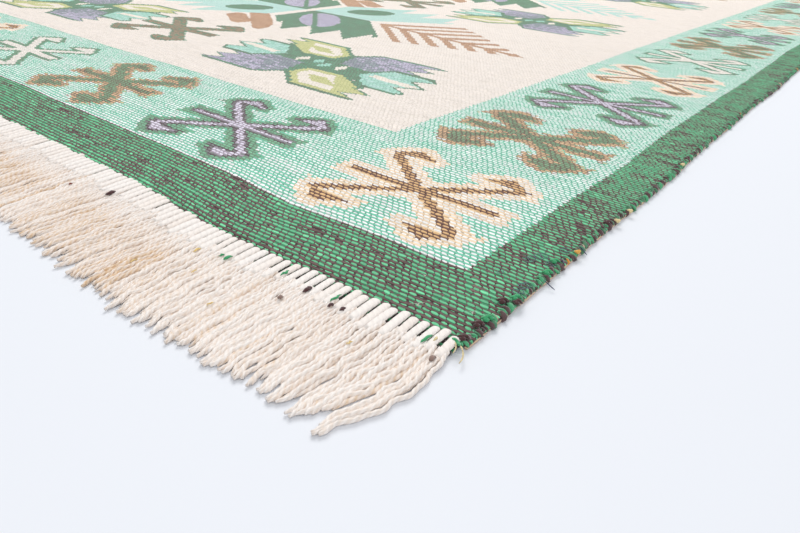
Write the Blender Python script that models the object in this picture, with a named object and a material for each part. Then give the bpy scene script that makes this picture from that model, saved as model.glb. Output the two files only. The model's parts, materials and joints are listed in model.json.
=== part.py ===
"""Flat-woven kilim rug of 1.2 by 2.0 m with a loose warp fringe at both ends.

Three solids: the woven cloth in one piece, and the fringe of each end.
Metres, +Z up. The rug lies on z = 0 with its length along Y, centred on the origin.
"""

import math
import random

import bpy
import bmesh
from mathutils import Matrix

# The cloth
WIDTH = 1.200
LENGTH = 2.000
THICKNESS = 0.0030
EDGE_ROUND = 0.0011
END_STEP = 0.020
SIDE_STEP = 0.050
CORNER_FADE = 0.020

# The fringe: locks of warp yarn that leave a narrow band just past the cloth's last weft
FRINGE_LENGTH = 0.071
LOCKS_PER_END = 148
FRINGE_INSET = 0.003
BAND_GAP = 0.0003
BAND_WIDTH = 0.0075
BAND_HEIGHT = 0.0024
LOCK_ROOT_DEPTH = 0.0030
LOCK_ROOT_LIFT = 0.0004
LOCK_ROOT_HEIGHT = 0.0014
LOCK_HEIGHT = 0.0029
LOCK_TIP_HEIGHT = 0.0012
LOCK_ROOT_WIDTH = 0.0050
LOCK_WIDTH = 0.0061
LOCK_TIP_WIDTH = 0.0024
SHORTEST_LOCK = 0.93
SWAY = 0.0020
SWAY_TURNS = 1.1
SWAY_SPREAD = 0.190
SEED = 7

# How far the edges wander from straight, as waves
END_WAVES = (
    # size, wavelength, phase in turns
    (0.0007, 0.610, 0.55),
    (0.0005, 0.237, 0.10),
)
SIDE_WAVES = (
    # size, wavelength, phase in turns
    (0.0009, 0.410, 0.20),
    (0.0007, 0.173, 0.65),
)
# Where each end swells outwards, or is drawn in if the size is below zero
END_SWELLS = {
    # place across, reach, size
    -1: ((0.460, 0.048, 0.0052), (0.600, 0.030, -0.0026), (-0.220, 0.110, 0.0016)),
    1: ((0.280, 0.090, 0.0022), (-0.600, 0.040, -0.0020)),
}
# How far the locks lean sideways towards their tips
LEAN_WAVES = (
    # size, wavelength, phase in turns
    (0.0042, 0.330, 0.10),
    (0.0011, 0.094, 0.45),
)
OUTER_LOCKS = 5
OUTER_SPREAD = 0.0030

# A lock's sections past the band, as shares of its length, its full width and its full height
LOCK_SECTIONS = (
    # along, width, height
    (0.10, 1.00, 1.00),
    (0.44, 0.96, 0.98),
    (0.78, 0.74, 0.86),
)

CREAM_YARN = (0.86, 0.78, 0.68, 1.0)
PALE_GREEN_WEAVE = (0.50, 0.58, 0.46, 1.0)


def wave(table, at):
    """The sum of a table's waves at a place along an edge."""
    return sum(size * math.sin(2 * math.pi * (at / length + turn)) for size, length, turn in table)


def stations(low, high, step):
    """Evenly spaced places from low to high, both included, about a step apart."""
    count = max(1, round((high - low) / step))
    return [low + (high - low) * i / count for i in range(count + 1)]


def end_edge(x, end):
    """The y of the cloth's edge at one end, -1 or 1, at a place across the rug."""
    swell = sum(size * math.exp(-(((x - at) / reach) ** 2)) for at, reach, size in END_SWELLS[end])
    return end * (LENGTH / 2 + wave(END_WAVES, end * x) + swell)


def end_line(end):
    """The points of the cloth's edge at one end, -1 or 1, from -X to +X."""
    return [(x, end_edge(x, end)) for x in stations(-WIDTH / 2, WIDTH / 2, END_STEP)]


def side_line(side):
    """The points of the cloth's long edge on one side, -1 or 1, from -Y to +Y."""
    near, far = (end_edge(side * WIDTH / 2, end) for end in (-1, 1))
    line = []
    for y in stations(near, far, SIDE_STEP):
        fade = min(1.0, (y - near) / CORNER_FADE, (far - y) / CORNER_FADE)
        line.append((side * (WIDTH / 2 + wave(SIDE_WAVES, side * y) * fade), y))
    return line


def cloth_outline():
    """The cloth's outline, anticlockwise from the corner at -X and -Y."""
    near, far = end_line(-1), end_line(1)
    left, right = side_line(-1), side_line(1)
    return near[:-1] + right[:-1] + far[:0:-1] + left[:0:-1]


def edge_at(line, x):
    """The y of a line of points at a place across the rug."""
    for (x0, y0), (x1, y1) in zip(line, line[1:]):
        if x <= x1:
            return y0 + (y1 - y0) * (x - x0) / (x1 - x0)
    return line[-1][1]


def material(name, colour, roughness):
    """A plain dielectric finish."""
    made = bpy.data.materials.new(name)
    made.use_nodes = True
    shader = made.node_tree.nodes["Principled BSDF"]
    shader.inputs["Base Color"].default_value = colour
    shader.inputs["Roughness"].default_value = roughness
    shader.inputs["Metallic"].default_value = 0.0
    return made


def slab(name, outline, height, edge_round, collection):
    """A flat mesh of this outline that stands on z = 0, with its rim rounded."""
    curve = bpy.data.curves.new(name, "CURVE")
    curve.dimensions = "2D"
    curve.fill_mode = "BOTH"
    curve.extrude = height / 2 - edge_round
    curve.bevel_depth = edge_round
    curve.bevel_resolution = 1 if edge_round else 0
    curve.offset = -edge_round
    spline = curve.splines.new("POLY")
    spline.points.add(len(outline) - 1)
    for point, (x, y) in zip(spline.points, outline):
        point.co = (x, y, 0, 1)
    spline.use_cyclic_u = True
    holder = bpy.data.objects.new(name + "_outline", curve)
    collection.objects.link(holder)
    bpy.context.view_layer.update()
    seen = holder.evaluated_get(bpy.context.evaluated_depsgraph_get())
    mesh = bpy.data.meshes.new_from_object(seen)
    bpy.data.objects.remove(holder)
    bpy.data.curves.remove(curve)
    shape = bmesh.new()
    shape.from_mesh(mesh)
    bmesh.ops.remove_doubles(shape, verts=shape.verts, dist=1e-6)
    bmesh.ops.translate(shape, verts=shape.verts, vec=(0, 0, height / 2))
    bmesh.ops.recalc_face_normals(shape, faces=shape.faces)
    shape.to_mesh(mesh)
    shape.free()
    mesh.name = name
    made = bpy.data.objects.new(name, mesh)
    collection.objects.link(made)
    return made


def cloth(collection):
    """The woven cloth: one flat piece with rounded selvedges."""
    made = slab("kilim_cloth", cloth_outline(), THICKNESS, EDGE_ROUND, collection)
    made.data.materials.clear()
    made.data.materials.append(material("woven_cloth", PALE_GREEN_WEAVE, 0.9))
    return made


def band_outline(end):
    """The outline of the band that holds a fringe, which follows the cloth's edge at that end."""
    half = WIDTH / 2 - FRINGE_INSET
    line = end_line(end)
    across = [-half] + [x for x, y in line if abs(x) < half] + [half]
    near = [(x, edge_at(line, x) + end * BAND_GAP) for x in across]
    far = [(x, y + end * BAND_WIDTH) for x, y in reversed(near)]
    outline = near + far
    return outline if end < 0 else outline[::-1]


def lock_sections(number, end, chance):
    """A lock's sections from inside the band to its tip: (centre x, centre y, z, width, height)."""
    half = WIDTH / 2 - FRINGE_INSET
    pitch = 2 * half / LOCKS_PER_END
    root_x = -half + pitch * (number + 0.5)
    band_y = edge_at(end_line(end), root_x) + end * (BAND_GAP + BAND_WIDTH)
    from_side = min(number, LOCKS_PER_END - 1 - number)
    outward = math.copysign(max(0, OUTER_LOCKS - from_side) / OUTER_LOCKS, root_x)
    free = (FRINGE_LENGTH - BAND_GAP - BAND_WIDTH) * chance.uniform(SHORTEST_LOCK, 1.0)
    full_width = LOCK_WIDTH * chance.uniform(0.88, 1.0)
    full_height = LOCK_HEIGHT * chance.uniform(0.86, 1.0)

    def centre(share):
        lean = wave(LEAN_WAVES, end * root_x) + OUTER_SPREAD * outward
        sway = SWAY * math.sin(2 * math.pi * (SWAY_TURNS * share + root_x / SWAY_SPREAD))
        return root_x + lean * share**1.5 + sway * share, band_y + end * free * share

    sections = [
        (root_x, band_y - end * LOCK_ROOT_DEPTH, LOCK_ROOT_LIFT, LOCK_ROOT_WIDTH, LOCK_ROOT_HEIGHT)
    ]
    for along, width, height in LOCK_SECTIONS:
        sections.append((*centre(along), 0.0, full_width * width, full_height * height))
    sections.append((*centre(1.0), 0.0, LOCK_TIP_WIDTH, LOCK_TIP_HEIGHT))
    return sections


def add_lock(shape, sections):
    """One three-sided lock that lies on the floor: a closed loft, ridged over a flat base."""
    rings = []
    for x, y, z, width, height in sections:
        corners = ((x - width / 2, z), (x + width / 2, z), (x, z + height))
        rings.append([shape.verts.new((across, y, up)) for across, up in corners])
    for first, second in zip(rings, rings[1:]):
        for side in range(3):
            after = (side + 1) % 3
            shape.faces.new((first[side], first[after], second[after], second[side]))
    shape.faces.new(rings[0])
    shape.faces.new(rings[-1])


def fringe(name, end, collection, joined):
    """A fringe: its locks joined into the band at their roots."""
    chance = random.Random(SEED + end)
    band = slab(name, band_outline(end), BAND_HEIGHT, 0.0, collection)
    shape = bmesh.new()
    for number in range(LOCKS_PER_END):
        add_lock(shape, lock_sections(number, end, chance))
    bmesh.ops.recalc_face_normals(shape, faces=shape.faces)
    mesh = bpy.data.meshes.new(name + "_locks")
    shape.to_mesh(mesh)
    shape.free()
    locks = bpy.data.objects.new(name + "_locks", mesh)
    joined.objects.link(locks)
    locks.hide_render = True
    locks.display_type = "WIRE"
    join = band.modifiers.new("join_locks", "BOOLEAN")
    join.operation = "UNION"
    join.object = locks
    band.data.materials.clear()
    band.data.materials.append(material(name + "_yarn", CREAM_YARN, 0.95))
    return band


def centre_on_origin(pieces, joined):
    """Moves every mesh so that the finished rug's middle is over the origin."""
    graph = bpy.context.evaluated_depsgraph_get()
    corners = [corner for piece in pieces for corner in piece.evaluated_get(graph).bound_box]
    low, high = ([edge(c[axis] for c in corners) for axis in (0, 1)] for edge in (min, max))
    shift = Matrix.Translation((-(low[0] + high[0]) / 2, -(low[1] + high[1]) / 2, 0))
    for piece in (*pieces, *joined):
        piece.data.transform(shift)


def main():
    for old in list(bpy.data.objects):
        bpy.data.objects.remove(old)
    rug = bpy.data.collections.new("kilim_rug")
    joined = bpy.data.collections.new("joined_shapes")
    for collection in (rug, joined):
        bpy.context.scene.collection.children.link(collection)
    cloth(rug)
    fringe("fringe_near", -1, rug, joined)
    fringe("fringe_far", 1, rug, joined)
    centre_on_origin(rug.objects, joined.objects)


main()
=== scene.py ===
"""Looks of the kilim rug: its weave and pattern, selvedges, loose warp fringe, floor, light and camera.

Metres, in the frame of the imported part. The pattern is worked out by shader nodes at the centre of each
woven float, so every motif has the weave's own stepped edge.
"""

import json
import math
from functools import partial, reduce

import bpy
import numpy as np
from mathutils import Matrix, Vector

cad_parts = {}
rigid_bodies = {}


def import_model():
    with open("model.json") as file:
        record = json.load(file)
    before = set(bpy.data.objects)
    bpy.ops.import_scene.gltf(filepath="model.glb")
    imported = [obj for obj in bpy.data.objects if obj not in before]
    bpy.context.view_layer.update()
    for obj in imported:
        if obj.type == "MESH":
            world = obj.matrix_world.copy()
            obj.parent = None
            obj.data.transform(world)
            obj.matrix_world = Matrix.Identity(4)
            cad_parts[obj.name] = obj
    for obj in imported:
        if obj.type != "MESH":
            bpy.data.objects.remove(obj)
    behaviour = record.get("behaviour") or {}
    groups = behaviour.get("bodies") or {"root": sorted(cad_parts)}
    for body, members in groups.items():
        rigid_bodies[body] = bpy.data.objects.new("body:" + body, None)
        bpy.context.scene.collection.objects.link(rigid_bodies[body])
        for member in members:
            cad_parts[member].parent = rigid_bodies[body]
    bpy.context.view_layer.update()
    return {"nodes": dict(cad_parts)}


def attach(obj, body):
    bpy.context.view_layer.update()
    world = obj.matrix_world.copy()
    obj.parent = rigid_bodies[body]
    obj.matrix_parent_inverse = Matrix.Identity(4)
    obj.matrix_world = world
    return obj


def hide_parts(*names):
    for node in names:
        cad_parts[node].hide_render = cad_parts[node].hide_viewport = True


for old in list(bpy.data.objects):
    bpy.data.objects.remove(old)
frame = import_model()

MM = 0.001

# The cloth, as in the part
WIDTH = 1.200
LENGTH = 2.000
THICKNESS = 3.0 * MM
NEAR_SWELL = 4.95 * MM
# Its mesh: the grid's step, how close to the rim the last row lies, and the top's dip and waves
CLOTH_GRID = 10.0 * MM
RIM_INSET = 1.3 * MM
TOP_DIP = 0.30 * MM
TOP_WAVE = 0.25 * MM
# Where the rounded rim's two rows lie, as shares of the thickness
RIM_HEIGHTS = (0.68, 0.32)
# An edge's unevenness goes this far into the cloth, and then fades away over this length
EDGE_HELD = 20.0 * MM
EDGE_FADE = 160.0 * MM

# The photograph's view, from the cloth's corner at +X and -Y
CAMERA_FROM_CORNER = (0.0914, -0.1647, 0.1459)
CAMERA_AZIMUTH = 36.87
CAMERA_ELEVATION = 30.26
CAMERA_ROLL = 3.30
CAMERA_LENS = 27.73
SENSOR_WIDTH = 36.0

# The studio
FLOOR_SIZE = 14.0
LAMPS = (
    # name, place, width and height, power, colour
    ("key_light", (-1.6, 1.5, 2.6), (1.8, 1.8), 95.0, (1.0, 0.99, 0.97)),
    ("fill_light", (1.8, -2.4, 2.4), (3.0, 3.0), 26.0, (0.96, 0.98, 1.0)),
)
ROOM_COLOUR = (0.96, 0.975, 1.0, 1.0)
ROOM_BRIGHTNESS = 0.62

# The weave: rows of two yarns in turn, whose floats end along slanted lines that cross all the rows
FLOAT_PITCH = 4.10 * MM
ROW_PITCH = 3.08 * MM
SLANT = 0.5

# The border
SIDE_GUARD = 31.5 * MM
END_GUARD = 49.0 * MM
SIDE_BORDER = 180.0 * MM
END_BORDER = 181.0 * MM
MOTIF_FROM_SIDE = 103.4 * MM
MOTIF_FROM_END = 111.0 * MM
END_MOTIFS = 7
SIDE_MOTIFS = 14
# Materials change here, inside the field, so that each one has fewer shapes to work out
FIELD_HALF = (0.413, 0.809)

# The field: medallions in the middle, with rows of flowers between them
ROW_OF_FIELD = 465.7 * MM
FLOWER_ACROSS = 226.0 * MM


def rgb(red, green, blue):
    """A display colour from 0 to 1 as the linear colour that a shader takes."""
    return (*(c / 12.92 if c <= 0.04045 else ((c + 0.055) / 1.055) ** 2.4 for c in (red, green, blue)), 1.0)


# Each area's two yarns: the rows that stand out, and the rows between. Both materials have the field's.
FIELD_GROUND = (rgb(1.00, 0.96, 0.93), rgb(0.965, 0.92, 0.875))
BORDER_YARNS = {
    "guard": (rgb(0.44, 0.79, 0.59), rgb(0.43, 0.34, 0.33)),
    "mint": (rgb(0.99, 1.00, 0.99), rgb(0.48, 0.81, 0.69)),
    "field": FIELD_GROUND,
    "cream_outline": (rgb(1.00, 0.98, 0.96), rgb(0.98, 0.87, 0.73)),
    "tan_inner": (rgb(0.91, 0.74, 0.53), rgb(0.45, 0.32, 0.28)),
    "tan_outline": (rgb(0.93, 0.77, 0.61), rgb(0.58, 0.50, 0.41)),
    "green_inner": (rgb(0.52, 0.70, 0.55), rgb(0.48, 0.42, 0.36)),
    "green_outline": (rgb(0.52, 0.76, 0.61), rgb(0.46, 0.58, 0.49)),
    "dark_rim": (rgb(0.53, 0.54, 0.53), rgb(0.38, 0.29, 0.33)),
    "lavender_inner": (rgb(0.94, 0.92, 0.97), rgb(0.70, 0.64, 0.71)),
    "dark_outline": (rgb(0.46, 0.70, 0.57), rgb(0.50, 0.57, 0.48)),
    "cream_inner": (rgb(1.00, 0.97, 0.94), rgb(0.93, 0.90, 0.86)),
}
FIELD_YARNS = {
    "field": FIELD_GROUND,
    "green": (rgb(0.44, 0.66, 0.53), rgb(0.46, 0.54, 0.46)),
    "lime": (rgb(0.87, 0.86, 0.64), rgb(0.79, 0.80, 0.56)),
    "lavender": (rgb(0.85, 0.83, 0.90), rgb(0.68, 0.65, 0.73)),
    "aqua": (rgb(0.74, 0.90, 0.84), rgb(0.62, 0.82, 0.75)),
    "cream": (rgb(1.00, 0.96, 0.92), rgb(0.96, 0.92, 0.86)),
    "slate": (rgb(0.62, 0.69, 0.68), rgb(0.56, 0.56, 0.61)),
    "tan": (rgb(0.86, 0.71, 0.59), rgb(0.73, 0.57, 0.46)),
    "olive": (rgb(0.73, 0.62, 0.53), rgb(0.54, 0.52, 0.43)),
    "pale_aqua": (rgb(0.82, 0.92, 0.89), rgb(0.73, 0.88, 0.84)),
}

# The hooked motif, folded into one quarter, in millimetres
BAR = (54.0, 3.4)
ARM_SLOPE = (0.786, 0.618)
ARM = (62.0, 3.9)
HOOK = ((52.0, 36.8), (51.0, 39.6), (37.0, 51.0), (34.0, 51.0), (18.0, 41.0), (18.0, 39.6))
# Each kind of motif: the yarns of its outline, rim and inside, how far each one reaches, and how ragged it is
MOTIF_KINDS = (
    (("cream_outline", "cream_outline", "tan_inner"), (7.2, 0.0, -0.6), 0.0),
    (("tan_outline", "tan_outline", "green_inner"), (6.6, 0.8, 0.8), 5.0),
    (("green_outline", "dark_rim", "lavender_inner"), (6.8, 1.4, -1.5), 1.5),
    (("dark_outline", "cream_inner", "cream_inner"), (5.0, 0.4, 0.4), 0.0),
)
END_ORDER = (0, 2, 1, 3)
SIDE_ORDER = (1, 2, 0, 3)

# The flower, folded into its right half, in millimetres. Each petal has a toothed limit on its right.
PETAL_UP = ((-2, 50), (20, 76), (112, 76), (112, 24), (60, 4), (10, 8))
PETAL_SIDE = ((50, -4), (74, 32), (122, 32), (139, 12), (139, -17), (130, -41), (82, -39))
PETAL_DOWN = ((3, -20), (50, -15), (120, -58), (114, -82), (36, -82), (-1, -50))
PETAL_OUTLINE = 5.0
FLOWER_EYES = ((28.0, -1.0, 7.0, 12.0, "cream"), (8.0, -4.0, 7.0, 10.0, "aqua"))

# The hooked figures between the flowers, in millimetres: their place across, and how much they are drawn in
FIGURE_ACROSS = -22.0
FIGURE_SCALE = (0.80, 0.86)

# The medallion, from its own centre, which isn't quite the rug's, in millimetres
MEDALLION_CENTRE = (-40.0, 11.0)
# Its leaf, folded into one quarter, with toothed ends along its axis
LEAF = ((8, -8), (112, -8), (206, 84), (188, 131), (95, 149), (10, 80))
LEAF_AXIS = (0.70, 0.714)
LEAF_TOOTH = 38.8
LEAF_TOOTH_DEPTH = 60.0
LEAF_TOOTH_SLOPE = 0.67
LEAF_TIP = (198.0, 4.0)
# Each heart: its place along and across the leaf's axis, its half sizes, and its dark vein
LAVENDER_HEART = (88.0, 15.0, 56.0, 29.0)
HEART_VEIN = (8.0, 3.5)
GREEN_HEART = (92.0, 10.0, 36.0, 27.0)
# The comb: where it starts, its tip on the right and on the left, and its barbs
COMB_START = 143.0
COMB_TIPS = (391.0, 362.0)
COMB_REACH = 72.0
COMB_UPPER = 1.25
COMB_RISE = 0.77
COMB_SLOPE = -0.148
COMB_PITCH = 37.0
# The stem's two barbs
STEM_BARBS = (
    ((-37, 68), (-18, 68), (55, 122), (80, 152), (81, 172), (68, 170), (-34, 90)),
    ((-37, 108), (-22, 106), (34, 142), (30, 164), (18, 164), (-37, 130)),
)

# The fringe: fingers of wrapped warps on the cloth's edge, then loose twisted yarns
FRINGE_LENGTH = 70.0 * MM
FINGERS = 239
FINGER_PITCH = 5.0 * MM
FINGER_LENGTH = 14.5 * MM
FINGER_ONTO_CLOTH = 3.0 * MM
YARN_START = 8.0 * MM
YARN_HALF = 0.98 * MM
PLY_TURN = 6.8 * MM
# The loose yarns gather towards their tips in locks of about this width, by this share of the way
LOCK_WIDTH = 8.0 * MM
LOCK_PULL = 0.10
END_NAMES = {-1: "near", 1: "far"}
# Points along each loose yarn and each finger: the near end, which the photograph shows, is the finer
YARN_POINTS = {-1: 56, 1: 26}
FINGER_POINTS = {-1: 12, 1: 8}
# The under layer: its yarns, the points along each, and how much shorter they are
UNDER_YARNS = 460
UNDER_POINTS = 10
UNDER_SHORTER = 2.5 * MM
# The wefts under the fingers: how many, how far apart, and the points along each
LAST_WEFTS = 4
LAST_WEFT_STEP = 2.0 * MM
LAST_WEFT_POINTS = 260
# Where the near fringe leans towards its right end: from the +X side, half the spread, and how far
LOCK_LEAN = ((0.118, 0.045, 9.0 * MM), (0.27, 0.05, 7.0 * MM))
# Where the near fringe's ends are short: from the +X side, half the spread, and by how much
NOTCHES = ((0.0125, 0.0035, 9.0 * MM), (0.154, 0.022, 6.5 * MM))
# Where some of the near fringe's strands are tan, and by how much
TAN_LOCKS = ((0.148, 0.017, 0.34), (0.205, 0.024, 0.36), (0.30, 0.045, 0.34))

# The selvedges: the loops on each edge, and each loop's size from its top to its underside
WRAPS = 1250
WRAP_SIZES = (0.45, 0.8, 1.0, 1.1, 1.05, 0.85, 0.5)

# Coloured scraps in the near fringe: across from the +X side, out from the cloth, in millimetres
FRINGE_SCRAPS = (
    # across, out, length, width, colour
    (220.4, 15.5, 6.5, 2.6, "brown"),
    (247.0, 24.6, 2.2, 1.3, "rust"),
    (72.0, 11.5, 5.5, 2.4, "brown"),
    (76.0, 23.0, 2.6, 2.2, "drab"),
    (57.0, 14.0, 3.2, 1.8, "brown"),
    (51.0, 13.0, 3.2, 1.8, "brown"),
    (5.0, 16.0, 3.6, 2.2, "drab"),
    (146.6, 42.0, 4.5, 0.8, "gold"),
    (134.2, 17.5, 4.4, 1.3, "gold"),
    (119.5, 30.5, 3.4, 0.8, "gold"),
    (94.0, 43.5, 3.4, 0.8, "gold"),
    (118.0, 13.5, 4.8, 1.8, "green"),
    (122.0, 13.5, 2.4, 1.2, "green"),
    (89.0, 7.5, 6.0, 1.3, "green"),
    (58.6, 8.5, 7.0, 1.2, "green"),
    (14.0, 7.5, 7.0, 1.6, "green"),
    (34.0, 28.0, 3.0, 0.8, "gold"),
    (11.0, 5.5, 3.4, 1.1, "yellow"),
)

# Loose threads, lumps and fine curls of yarn at the edge on +X, in millimetres from the near corner
STRAYS = (
    # from the side and along it, at the start and at the end, half width, curl, turns, colour
    (4.0, 0.6, -2.6, -6.8, 0.34, 1.2, 0.8, "yellow"),
    (7.0, 2.0, 2.2, -5.0, 0.30, 1.0, 0.7, "yellow"),
    (6.2, 1.4, 2.4, -0.4, 0.80, 0.6, 0.6, "green"),
    (5.2, 3.6, 3.0, 5.8, 1.05, 0.9, 1.6, "brown"),
    (6.0, 14.6, 3.8, 17.4, 1.10, 1.0, 1.6, "brown"),
    (1.4, 40.0, 0.2, 43.0, 0.95, 0.8, 1.6, "brown"),
    (7.2, 36.4, 5.0, 39.2, 1.10, 1.0, 1.6, "brown"),
    (3.6, 143.0, 1.8, 146.6, 1.20, 0.9, 1.6, "brown"),
    (5.0, 20.2, 3.2, 24.0, 1.10, 1.0, 1.8, "green"),
    (4.0, 42.0, 2.0, 45.6, 1.10, 0.9, 1.6, "green"),
    (6.2, 83.8, 4.2, 86.8, 1.00, 0.9, 1.6, "green"),
    (3.8, 71.4, 2.0, 75.0, 1.10, 0.9, 1.8, "green"),
    (0.2, 65.7, -5.8, 65.2, 0.28, 0.2, 0.5, "navy"),
    (2.4, 108.0, -3.4, 104.9, 0.28, 0.2, 0.5, "navy"),
    (3.6, 90.1, 0.2, 86.6, 0.26, 0.2, 0.5, "navy"),
    (1.0, 100.4, 0.2, 103.6, 1.10, 0.3, 0.8, "orange"),
    (0.2, 150.2, -1.2, 153.6, 1.15, 0.3, 0.8, "yellow"),
    (0.0, 168.4, -1.0, 171.6, 1.10, 0.3, 0.8, "yellow"),
    (1.4, 269.8, 0.6, 272.6, 1.10, 0.3, 0.8, "yellow"),
    (17.4, 76.4, 15.6, 82.4, 0.16, 2.4, 2.6, "slate"),
    (16.2, 83.0, 12.4, 88.4, 0.16, 2.8, 2.2, "slate"),
    (7.7, 80.2, 6.4, 84.4, 0.15, 2.2, 2.4, "slate"),
    (8.8, 97.8, 7.0, 101.6, 0.15, 2.2, 2.3, "slate"),
    (7.4, 54.0, 5.8, 57.4, 0.17, 2.3, 2.6, "slate"),
    (7.6, 47.6, 4.8, 51.2, 0.17, 2.1, 2.2, "slate"),
    (22.0, 60.0, 19.0, 58.0, 0.14, 1.8, 1.4, "slate"),
    (33.0, 9.5, 29.6, 13.5, 0.17, 1.1, 1.3, "cream"),
    (12.6, 20.6, 9.8, 23.4, 0.15, 0.9, 1.2, "cream"),
    (44.6, 31.6, 41.8, 32.8, 0.16, 0.8, 1.1, "cream"),
)


def operator(operation, swapped=False):
    """The method for one operator of Num."""

    def method(self, other):
        values = (other, self) if swapped else (self, other)
        return self.graph.math(operation, *values)

    return method


class Num:
    """A number that shader nodes work out. Its operators add those nodes."""

    def __init__(self, graph, socket):
        self.graph = graph
        self.socket = socket

    __add__ = operator("ADD")
    __radd__ = operator("ADD", swapped=True)
    __sub__ = operator("SUBTRACT")
    __rsub__ = operator("SUBTRACT", swapped=True)
    __mul__ = operator("MULTIPLY")
    __rmul__ = operator("MULTIPLY", swapped=True)
    __lt__ = operator("LESS_THAN")
    __gt__ = operator("GREATER_THAN")


class Graph:
    """A material and short ways to add nodes to it."""

    def __init__(self, name):
        self.material = bpy.data.materials.new(name)
        self.material.use_nodes = True
        self.tree = self.material.node_tree
        self.shader = self.tree.nodes["Principled BSDF"]

    def node(self, kind, **settings):
        made = self.tree.nodes.new(kind)
        for key, value in settings.items():
            setattr(made, key, value)
        return made

    def link(self, source, socket):
        self.tree.links.new(source, socket)

    def fill(self, socket, value):
        """Links a number to a socket, or writes it there if it is plain."""
        if isinstance(value, Num):
            self.link(value.socket, socket)
        else:
            socket.default_value = value

    def math(self, operation, *values):
        made = self.node("ShaderNodeMath", operation=operation)
        for socket, value in zip(made.inputs, values):
            self.fill(socket, value)
        return Num(self, made.outputs[0])

    def least(self, *values):
        return reduce(partial(self.math, "MINIMUM"), values)

    def most(self, *values):
        return reduce(partial(self.math, "MAXIMUM"), values)

    def size(self, value):
        return self.math("ABSOLUTE", value)

    def sign(self, value):
        """1 where a value is above 0, or else -1."""
        return (value > 0.0) * 2.0 - 1.0

    def fraction(self, value):
        return self.math("FRACT", value)

    def whole(self, value):
        return self.math("ROUND", value)

    def choose(self, mask, yes, no):
        """yes where the mask is 1 and no where it is 0."""
        made = self.node("ShaderNodeMix", data_type="FLOAT")
        for socket, value in zip((made.inputs[0], made.inputs[2], made.inputs[3]), (mask, no, yes)):
            self.fill(socket, value)
        return Num(self, made.outputs[0])

    def link_vector(self, socket, *values):
        """Links a vector of up to three numbers to a socket."""
        made = self.node("ShaderNodeCombineXYZ")
        for part, value in zip(made.inputs, values):
            self.fill(part, value)
        self.link(made.outputs[0], socket)

    def x_and_y(self, vector):
        """The first two numbers of a vector."""
        split = self.node("ShaderNodeSeparateXYZ")
        self.link(vector, split.inputs[0])
        return Num(self, split.outputs[0]), Num(self, split.outputs[1])

    def shade(self, colour, amount):
        """A colour times a number."""
        made = self.node("ShaderNodeVectorMath", operation="MULTIPLY")
        self.link(colour, made.inputs[0])
        self.link_vector(made.inputs[1], amount, amount, amount)
        return made.outputs[0]

    def noise(self, x, y, detail=2.0):
        """Soft noise around 0, mostly within a quarter of it."""
        made = self.node("ShaderNodeTexNoise")
        made.inputs["Scale"].default_value = 1.0
        made.inputs["Detail"].default_value = detail
        self.link_vector(made.inputs["Vector"], x, y)
        return Num(self, made.outputs[0]) - 0.5

    def scatter(self, x, y):
        """A random number from 0 to 1 for each place."""
        made = self.node("ShaderNodeTexWhiteNoise", noise_dimensions="2D")
        self.link_vector(made.inputs["Vector"], x, y)
        return Num(self, made.outputs[0])

    def place(self):
        """The point's X and Y in the rug's frame."""
        return self.x_and_y(self.node("ShaderNodeTexCoord").outputs["Object"])

    def flat_place(self):
        """The point's X and Y from the middle of the cloth as if its edges were straight."""
        return self.x_and_y(self.node("ShaderNodeAttribute", attribute_name="flat").outputs["Vector"])

    def stored(self, name):
        """A number stored for each point of the mesh."""
        return Num(self, self.node("ShaderNodeAttribute", attribute_name=name).outputs["Fac"])

    def ramp(self, index, stops, interpolation="LINEAR"):
        """A colour from a number: stops are (position, colour)."""
        made = self.node("ShaderNodeValToRGB")
        made.color_ramp.interpolation = interpolation
        for place, (position, colour) in enumerate(stops):
            elements = made.color_ramp.elements
            stop = elements[place] if place < 2 else elements.new(position)
            stop.position = position
            stop.color = colour
        self.fill(made.inputs[0], index)
        return made.outputs[0]

    def bump(self, height, distance):
        made = self.node("ShaderNodeBump")
        made.inputs["Distance"].default_value = distance
        self.fill(made.inputs["Height"], height)
        self.link(made.outputs[0], self.shader.inputs["Normal"])

    def polygon(self, x, y, corners):
        """How far a point is outside a convex shape, below 0 inside it. Corners go either way round."""
        pairs = list(zip(corners, corners[1:] + corners[:1]))
        turn = 1.0 if sum(x0 * y1 - x1 * y0 for (x0, y0), (x1, y1) in pairs) > 0 else -1.0
        sides = []
        for (x0, y0), (x1, y1) in pairs:
            length = math.hypot(x1 - x0, y1 - y0)
            out_x, out_y = turn * (y1 - y0) / length, -turn * (x1 - x0) / length
            along_y = self.math("MULTIPLY_ADD", y, out_y, -(x0 * out_x + y0 * out_y))
            sides.append(self.math("MULTIPLY_ADD", x, out_x, along_y))
        return self.most(*sides)

    def teeth(self, value, period):
        """A saw edge: from 0 to 1 and back over each period."""
        return self.math("PINGPONG", value, period / 2) * (2 / period)


def fabric(graph, colour, roughness=0.85, sheen=0.08):
    """The finish of woolly yarn: no gloss, and a sheen that stands for its fuzz."""
    shader = graph.shader
    graph.link(colour, shader.inputs["Base Color"])
    shader.inputs["Roughness"].default_value = roughness
    shader.inputs["Specular IOR Level"].default_value = 0.2
    shader.inputs["Sheen Weight"].default_value = sheen
    shader.inputs["Sheen Roughness"].default_value = 0.5


def unsettled(graph, x, y):
    """A place moved a little, so that the rows of yarn aren't ruler straight."""
    quick = graph.noise(x * 130.0, y * 210.0, detail=1.0)
    medium = graph.noise(x * 17.0, y * 23.0, detail=1.0)
    return x + quick * (2.6 * MM), y + medium * (3.4 * MM) + quick * (1.5 * MM)


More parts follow.
